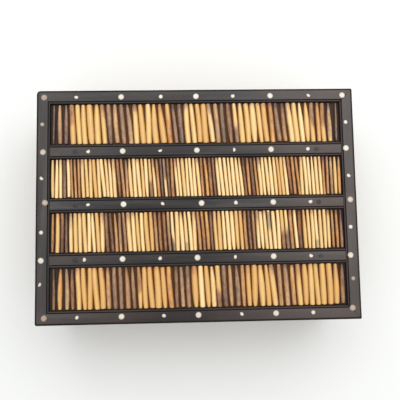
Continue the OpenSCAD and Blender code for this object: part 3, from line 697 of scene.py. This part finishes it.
def add_strip(bm, outline, length, mitred, place, rng, corners=(0, 0), gaps=(0, 0), notches=(), lift=0):
    """A strip along its own X with an outline of (inwards, up).

    Its surface is a little uneven, but not at its ends, so that mitres stay tight. The corners are the
    radii of its ends in plan, and the gaps are how far its mitres have opened at the inner edge. Between
    the (low, high) of each notch, nothing hangs lower than the lift.
    """
    layers = {name: bm.verts.layers.float.new(name) for name in STRIP_LAYERS}
    shift = Vector((rng.uniform(0, 90), rng.uniform(0, 90), rng.uniform(0, 90)))
    top = max(v for _, v in outline)
    straight = length / 2 - MITRE_REACH
    width = max(u for u, _ in outline)
    rings = []
    for station in strip_stations(length, mitred, notches):
        notched = any(low < station < high for low, high in notches)
        ring = []
        for u, v in outline:
            x = station
            if mitred and abs(x) > straight:
                squeeze = (MITRE_REACH - u - gaps[x > 0] * u / width) / MITRE_REACH
                x = math.copysign(straight + (abs(x) - straight) * squeeze, x)
            settle = min(1, (length / 2 - (u if mitred else 0) - abs(x)) / SETTLING)
            x, inward = rounded(x, u, length, corners[x > 0])
            wave = Vector((x * WAVES[0], u * WAVES[1], v * WAVES[1]))
            ripple = Vector((x * RIPPLES[0], u * RIPPLES[1], v * RIPPLES[1]))
            wobble = noise.noise_vector(wave + shift) * STRIP_ROUGHNESS
            wobble += noise.noise_vector(ripple + shift) * STRIP_ROUGHNESS * RIPPLE_SHARE
            high = max(v, lift) if notched else v
            point = place(x, inward + abs(wobble.y) * settle, high - abs(wobble.z) * settle)
            vert = bm.verts.new(point)
            # e_edge holds painted shade and painted dark reflection, with some dirt in the quirks
            vert[layers["e_edge"]] = max(strip_shade_and_grime(mitred, u, v - top), painted_dark_reflection(point))
            vert[layers["e_warm"]] = browned(point)
            ring.append(vert)
        rings.append(ring)
    count = len(outline)
    for a, b in zip(rings, rings[1:]):
        for k in range(count):
            bm.faces.new((a[k], a[(k + 1) % count], b[(k + 1) % count], b[k]))
    bm.faces.new(rings[0])
    bm.faces.new(rings[-1][::-1])


# A dark reflection is painted on the lid's ebony, strongest here, at the front and left of the middle, and
# fading out across these widths
DARK_REFLECTION_MIDDLE = (-25 * MM, -85 * MM)
DARK_REFLECTION_WIDTHS = (52 * MM, 150 * MM)


def painted_dark_reflection(p):
    """How strong the dark reflection painted on the lid's ebony is at a point."""
    across, deep = (p.x - DARK_REFLECTION_MIDDLE[0]) / DARK_REFLECTION_WIDTHS[0], (p.y - DARK_REFLECTION_MIDDLE[1]) / DARK_REFLECTION_WIDTHS[1]
    return 0.55 * math.exp(-0.5 * (across * across + deep * deep))


FRONT_RAIL_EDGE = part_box("lid_rail_front")[1].y
MIDDLE_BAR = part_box("lid_bar_middle")


def browned(p):
    """How brown the lid's ebony has gone at a point.

    Its front rail and its right side are browner, and most of all the right end of its middle bar.
    """
    low, high = MIDDLE_BAR
    share = 0.12 + 0.4 * slope(p.x, 25 * MM, 90 * MM)
    share += 0.3 * slope(-p.y, -FRONT_RAIL_EDGE, 1 * MM - FRONT_RAIL_EDGE)
    if low.y - MM < p.y < high.y + MM:
        share = 0.95 * slope(p.x, 0.45 * high.x, 0.8 * high.x)
    blot = noise.noise(Vector((p.x * 22, p.y * 22, 5)))
    return share + 0.6 * max(0, blot - 0.1)


def side_place(side, low, high, z):
    """Maps a strip's own x, inwards and up to the front, right, back or left of a box in plan."""
    reach = {"front": -low[1], "right": high[0], "back": high[1], "left": -low[0]}[side]
    turn = {"front": 0, "right": 1, "back": 2, "left": 3}[side]

    def place(x, u, v):
        p = Vector((x, -reach + u, z + v))
        for _ in range(turn):
            p = Vector((-p.y, p.x, p.z))
        return p

    return place


BEAD_W = 1.6 * MM
QUIRK_W = 0.5 * MM
# The ebony's face lies this far under the tops of the bone dots, and its beads and quirks lower still
FACE_DROP = 0.2 * MM
BEAD_DROP = 0.36 * MM
QUIRK_DROP = 0.85 * MM


def rail_outline(lip, under, width, height):
    """Section of a lid rail: a lip, a tongue over the board, a round outer edge and an inner bead."""
    face, bead_top, groove = height - FACE_DROP, height - BEAD_DROP, height - QUIRK_DROP
    bead = width - BEAD_W
    return fillet([
        (0, 0, 0.4 * MM), (lip, 0, 0), (lip, under, 0), (width, under, 0), (width, bead_top, 0.75 * MM),
        (bead, bead_top, 0.5 * MM), (bead, groove, 0), (bead - QUIRK_W, groove, 0),
        (bead - QUIRK_W, face, 0.25 * MM), (0, face, 2.2 * MM),
    ])


def bar_outline(width, height):
    """Section of a bar across the lid, beaded on both edges. Its middle is at u = 0."""
    face, bead_top, groove = height - FACE_DROP, height - BEAD_DROP, height - QUIRK_DROP
    half = width / 2
    bead = half - BEAD_W
    right = [
        (half, 0, 0), (half, bead_top, 0.75 * MM), (bead, bead_top, 0.5 * MM), (bead, groove, 0),
        (bead - QUIRK_W, groove, 0), (bead - QUIRK_W, face, 0.25 * MM),
    ]
    return fillet(right + [(-u, v, radius) for u, v, radius in reversed(right)])


# Radii of the lid's corners in plan: front left, front right, back right and back left
CORNERS = (1.7 * MM, 0.9 * MM, 1.1 * MM, 3.2 * MM)
# How far the mitres of the front, right, back and left rails have opened at their two ends
MITRE_GAPS = ((0, 0), (1.0 * MM, 0.8 * MM), (0, 0), (0, 0))
# Clearance of the back rail beside and over the hinge barrels
BARREL_ASIDE = 0.3 * MM
BARREL_OVER = 0.2 * MM


def hinge_notches():
    """Ranges, in the back rail's own x, where the hinge barrels need room, and how high that goes."""
    found = []
    for name in ("hinge_pin_left", "hinge_pin_right"):
        low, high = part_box(name)
        found.append((-high.x - BARREL_ASIDE, BARREL_ASIDE - low.x))
    barrel_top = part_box("lid_leaf_left")[1].z
    return found, barrel_top + BARREL_OVER


def lid_rails():
    """The four mitred rails round the lid."""
    board, left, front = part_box("lid_board"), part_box("lid_rail_left"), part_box("lid_rail_front")
    right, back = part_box("lid_rail_right"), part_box("lid_rail_back")
    low = Vector((left[0].x, front[0].y, board[0].z))
    high = Vector((right[1].x, back[1].y, back[1].z))
    lip = high.x - board[1].x
    under = board[1].z - low.z
    width = left[1].x - low.x
    outline = rail_outline(lip, under, width, high.z - low.z)
    for turn, side in enumerate(("front", "right", "back", "left")):
        along_x = side in ("front", "back")
        length = (high.x - low.x) if along_x else (high.y - low.y)
        notches, room_top = hinge_notches() if side == "back" else ((), low.z)
        bm = bmesh.new()
        add_strip(
            bm, outline, length, True, side_place(side, low, high, low.z),
            random.Random("rail " + side), corners=(CORNERS[turn], CORNERS[(turn + 1) % 4]),
            gaps=MITRE_GAPS[turn], notches=notches, lift=room_top - low.z,
        )
        material = EBONY_X if along_x else EBONY_Y
        piece("ebony_rail_" + side, bm, material, "lid", "lid_rail_" + side, slot="ebony")


def lid_bars():
    """The three bars between the rows of quills."""
    for name in ("back", "middle", "front"):
        low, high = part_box("lid_bar_" + name)
        middle = (low + high) / 2
        bm = bmesh.new()
        add_strip(
            bm, bar_outline(high.y - low.y, high.z - low.z), high.x - low.x, False,
            lambda x, u, v: Vector((x, middle.y + u, low.z + v)), random.Random("bar " + name),
        )
        piece("ebony_bar_" + name, bm, EBONY_X, "lid", "lid_bar_" + name, slot="ebony")


lid_rails()
lid_bars()


# ---------------------------------------------------------------- bone dots and plugs

# The share of its radius where a dot that has gone brown has a darker ring
STAIN_RING = 0.62
# Rings of a dot: shares of its radius and how far each lies under its top, in mm. The first is its foot.
DOT_PROFILE = ((1.0, None), (1.0, 0.16), (0.97, 0.09), (0.88, 0.05), (STAIN_RING, 0.02), (0.3, 0.0))
DOT_SIDES = 32
# How much narrower than round a small dot can be, before chance lessens it
OVALS = (0, 0, 0.08, 0.14, 0.28)
# A small dot can be cut flat at a share of its radius from its middle. Past 1 it isn't cut.
UNCUT = 2
CHORDS = (UNCUT, UNCUT, UNCUT, 0.8, 0.6)


def ring_share(share, stain):
    """How dark a dot is at a share of its radius: at its rim, and in a ring if it has gone brown."""
    return max(0, (share - 0.68) / 0.32) ** 1.2 * 0.9 + (0.5 * stain if share == STAIN_RING else 0)


def add_dot(bm, layers, points, out, small, stain, rng, drop=0.0):
    """A peg with a slightly crowned and uneven face. Many small ones are oval or cut flat on a side.

    Its top lies the drop under that of its CAD solid.
    """
    out = np.array(out, float)
    top = (points @ out).max() - drop
    bottom = (points @ out).min()
    flat = points - np.outer(points @ out, out)
    middle = (flat.max(0) + flat.min(0)) / 2
    side = np.array((1.0, 0, 0)) if abs(out[0]) < 0.5 else np.array((0, 1.0, 0))
    other = np.cross(out, side)
    r = np.ptp(flat @ side) / 2
    oval = 1 - rng.uniform(0, 0.06)
    turn = rng.uniform(0, math.pi)
    chord = UNCUT
    if small:
        oval = 1 - rng.choice(OVALS) * rng.uniform(0.7, 1)
        chord = rng.choice(CHORDS)
        if stain > 0.5:
            oval, chord = 0.97, UNCUT
    seed = rng.uniform(0, 90)
    rings = []
    for share, sink in DOT_PROFILE:
        ring = []
        for k in range(DOT_SIDES):
            angle = 2 * math.pi * k / DOT_SIDES
            at = Vector((math.cos(angle) * 1.4 + seed, math.sin(angle) * 1.4, turn))
            wobble = 1 - 0.035 * abs(noise.noise(at))
            c = min(math.cos(angle) * share * wobble, chord * share) * oval
            s = math.sin(angle) * share * wobble
            x = c * math.cos(turn) - s * math.sin(turn)
            y = c * math.sin(turn) + s * math.cos(turn)
            height = bottom if sink is None else top - sink * MM
            v = bm.verts.new(middle + side * r * x + other * r * y + out * height)
            v[layers["b_stain"]] = stain
            v[layers["b_ring"]] = ring_share(share, stain)
            ring.append(v)
        rings.append(ring)
    for a, b in zip(rings, rings[1:]):
        for k in range(DOT_SIDES):
            bm.faces.new((a[k], a[(k + 1) % DOT_SIDES], b[(k + 1) % DOT_SIDES], b[k]))
    bm.faces.new(rings[0][::-1])
    bm.faces.new(rings[-1])


def facing(points):
    """The direction that a dot on the box's side faces, from where it lies."""
    x, y = points.mean(0)[:2]
    low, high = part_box("wall_front")[0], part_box("wall_back")[1]
    past_x = max(x - high.x, low.x - x)
    past_y = max(y - high.y, low.y - y)
    if past_x > past_y:
        return (math.copysign(1, x), 0, 0)
    return (0, math.copysign(1, y), 0)


# A lid dot belongs to a row of quills or to a bar if it is this near its middle
NEAR_ROW = 8 * MM
NEAR_BAR = 6 * MM


def lid_stains(node):
    """Which lid dots have gone brown: some corners, and a few along the rails. Others stay cream."""
    left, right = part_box("lid_rail_left"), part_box("lid_rail_right")
    low, high = left[0], right[1]
    corner = left[1].x - low.x
    bars = {}
    for name in ("back", "middle"):
        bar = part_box("lid_bar_" + name)
        bars[name] = (bar[0].y + bar[1].y) / 2
    row_1 = (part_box("lid_rail_back")[0].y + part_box("lid_bar_back")[1].y) / 2
    row_4 = (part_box("lid_rail_front")[1].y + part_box("lid_bar_front")[0].y) / 2

    def stain(p, rng):
        plain = rng.uniform(0, 0.14) + 0.1 * slope(-p[1], 0, high.y)
        on_left, on_right = p[0] < low.x + corner, p[0] > high.x - corner
        if node == "lid_dots_small":
            at_row_1, at_row_4 = abs(p[1] - row_1) < NEAR_ROW, abs(p[1] - row_4) < NEAR_ROW
            return 0.8 if (on_left and at_row_1) or (on_right and at_row_4) else plain
        at_back, at_front = p[1] > high.y - corner, p[1] < low.y + corner
        if on_left and (at_back or at_front):
            return 0.85
        if on_right and at_front:
            return 0.7
        if on_left and abs(p[1] - bars["back"]) < NEAR_BAR:
            return 0.5
        if on_left and abs(p[1] - bars["middle"]) < NEAR_BAR:
            return 0.65
        if on_right and abs(p[1] - bars["middle"]) < NEAR_BAR:
            return 0.4
        return plain

    return stain


def dots(node, body, name, small, stains=None):
    """All the dots of a CAD node, as one piece. Without stains, a few brown ones are drawn by chance."""
    rng = random.Random(name)
    bm = bmesh.new()
    layers = {key: bm.verts.layers.float.new(key) for key in ("b_stain", "b_ring")}
    for points in solids(node):
        out = (0, 0, 1) if body == "lid" else facing(points)
        if stains:
            stain = stains(points.mean(0), rng)
        else:
            stain = rng.uniform(0.3, 0.6) if rng.random() < 0.15 else rng.uniform(0, 0.12)
        add_dot(bm, layers, points, out, small, stain, rng)
    return piece(name, bm, BONE, body, node, slot="bone")


dots("lid_dots_large", "lid", "bone_dots_lid_large", False, stains=lid_stains("lid_dots_large"))
dots("lid_dots_small", "lid", "bone_dots_lid_small", True, stains=lid_stains("lid_dots_small"))
dots("box_dots_large", "box", "bone_dots_box_large", False)
# The seats in the posts, plinth and upper rails are round, so the small dots there are round too
dots("box_dots_small", "box", "bone_dots_box_small", False)


def plugs():
    """Ebony plugs over the fixings of the bars, darker than the bars and nearly level with them."""
    rng = random.Random("plugs")
    bm = bmesh.new()
    layers = {key: bm.verts.layers.float.new(key) for key in ("b_stain", "b_ring", "e_edge")}
    for points in solids("lid_plugs"):
        add_dot(bm, layers, points, (0, 0, 1), False, 0, rng, drop=FACE_DROP - 0.03 * MM)
    for v in bm.verts:
        # Plugs are darker than the bars and darker at their rims, and they take the lid's painted dark
        # reflection too
        v[layers["e_edge"]] = min(1, 0.14 + painted_dark_reflection(v.co) + 0.6 * v[layers["b_ring"]])
    piece("ebony_plugs", bm, EBONY_Z, "lid", "lid_plugs", slot="ebony_plug")


plugs()


# ---------------------------------------------------------------- CAD nodes that stay

JOIN_WITHIN = 0.002 * MM
FLAT_WITHIN = math.radians(0.5)
# More than the bend in the middle of a rounded edge, so that only edges left sharp are shaded crisp
CRISP = math.radians(50)
# The stain of the beds starts this far under the faces that the quills lie on
STAIN_DEPTH = 0.1 * MM
METAL_EDGE = 0.08 * MM
SCREW_EDGE = 0.14 * MM


def assign(node, material, edge=0.3 * MM):
    """Gives a CAD node its material and rounds its edges.

    The CAD mesh has a point of its own for each corner of each face, so the points are joined first, and
    the triangles of a flat face become one face.
    """
    obj = nodes[node]
    obj.data.materials.clear()
    obj.data.materials.append(material)
    weld = obj.modifiers.new("joined_faces", "WELD")
    weld.merge_threshold = JOIN_WITHIN
    flat = obj.modifiers.new("whole_faces", "DECIMATE")
    flat.decimate_type = "DISSOLVE"
    flat.angle_limit = FLAT_WITHIN
    bevel = obj.modifiers.new("worn_edges", "BEVEL")
    bevel.width = edge
    bevel.segments = 2
    bevel.limit_method = "ANGLE"
    bevel.angle_limit = SHARP
    split = obj.modifiers.new("crisp_edges", "EDGE_SPLIT")
    split.split_angle = CRISP


WOOD_X = carcass("carcass_along_x", 0, 4)
WOOD_Y = carcass("carcass_along_y", 1, 5)
front_face, back_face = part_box("wall_front")[0].y + STAIN_DEPTH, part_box("wall_back")[1].y - STAIN_DEPTH
left_face, right_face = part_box("wall_left")[0].x + STAIN_DEPTH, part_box("wall_right")[1].x - STAIN_DEPTH
lid_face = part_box("lid_board")[1].z - STAIN_DEPTH
assign("base_board", WOOD_X)
assign("wall_front", stained(WOOD_X, "carcass_front", 1, front_face, False))
assign("wall_back", stained(WOOD_X, "carcass_back", 1, back_face))
assign("wall_left", stained(WOOD_Y, "carcass_left", 0, left_face, False))
assign("wall_right", stained(WOOD_Y, "carcass_right", 0, right_face))
assign("lid_board", stained(WOOD_X, "carcass_lid", 2, lid_face, ends=BED_TURNS))
for node in nodes:
    if nodes[node].hide_render:
        continue
    if node.startswith(("plinth", "upper_rail")):
        assign(node, EBONY_Y if node.endswith(("left", "right")) else EBONY_X)
    elif node.startswith(("corner_post", "stile")):
        assign(node, EBONY_Z)
    elif node.startswith("hinge_pin"):
        assign(node, STEEL, METAL_EDGE)
    elif node == "escutcheon":
        assign(node, BONE)
    elif "screw" in node:
        assign(node, SCREW_BRASS, SCREW_EDGE)
    elif node.startswith(("box_leaf", "lid_leaf", "lock", "link")):
        assign(node, BRASS, METAL_EDGE)


# ---------------------------------------------------------------- stage, light and camera

FLOOR_HALF = 4
FLOOR_COLOUR = (0.742, 0.742, 0.722, 1)
SKY_COLOUR = (0.96, 0.98, 1.0, 1)
SKY_STRENGTH = 1.06
SOFTBOX_PLACE = (0.15, 0.55, 0.95)
SOFTBOX_SIZE = (1.6, 0.9)
SOFTBOX_WATTS = 8.3
CAMERA_SENSOR_MM = 36
CAMERA_LENS_MM = 49.38
CAMERA_HEIGHT = 0.4354
CAMERA_ASIDE = (-0.0133, -0.0383)
CAMERA_TURN_DEG = (5.432, -1.886, -1.042)
# The quills and strips stand this far over the lid's board, where the camera's height starts
LID_FACING = 3 * MM


def floor():
    bm = bmesh.new()
    bmesh.ops.create_grid(bm, x_segments=1, y_segments=1, size=FLOOR_HALF)
    mesh = bpy.data.meshes.new("floor")
    bm.to_mesh(mesh)
    bm.free()
    m = Maker("pale_floor")
    m.set(base_color=FLOOR_COLOUR, roughness=0.9, specular_ior_level=0.1)
    mesh.materials.append(m.mat)
    obj = bpy.data.objects.new("floor", mesh)
    bpy.context.scene.collection.objects.link(obj)


def lighting():
    """A softbox behind and above the box, in a pale studio."""
    data = bpy.data.lights.new("back_softbox", "AREA")
    data.shape = "RECTANGLE"
    data.size, data.size_y = SOFTBOX_SIZE
    data.energy = SOFTBOX_WATTS
    obj = bpy.data.objects.new("back_softbox", data)
    obj.location = SOFTBOX_PLACE
    obj.rotation_euler = (-Vector(SOFTBOX_PLACE)).to_track_quat("-Z", "Y").to_euler()
    bpy.context.scene.collection.objects.link(obj)
    world = bpy.data.worlds.new("studio")
    bpy.context.scene.world = world
    world.use_nodes = True
    world.node_tree.nodes["Background"].inputs["Color"].default_value = SKY_COLOUR
    world.node_tree.nodes["Background"].inputs["Strength"].default_value = SKY_STRENGTH


def camera():
    data = bpy.data.cameras.new("camera")
    data.sensor_width = CAMERA_SENSOR_MM
    data.lens = CAMERA_LENS_MM
    obj = bpy.data.objects.new("camera", data)
    lid_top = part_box("lid_board")[1].z + LID_FACING
    obj.location = (*CAMERA_ASIDE, lid_top + CAMERA_HEIGHT)
    obj.rotation_euler = Euler([math.radians(angle) for angle in CAMERA_TURN_DEG])
    bpy.context.scene.collection.objects.link(obj)
    bpy.context.scene.camera = obj


floor()
lighting()
camera()
bpy.context.scene.view_settings.view_transform = "Standard"
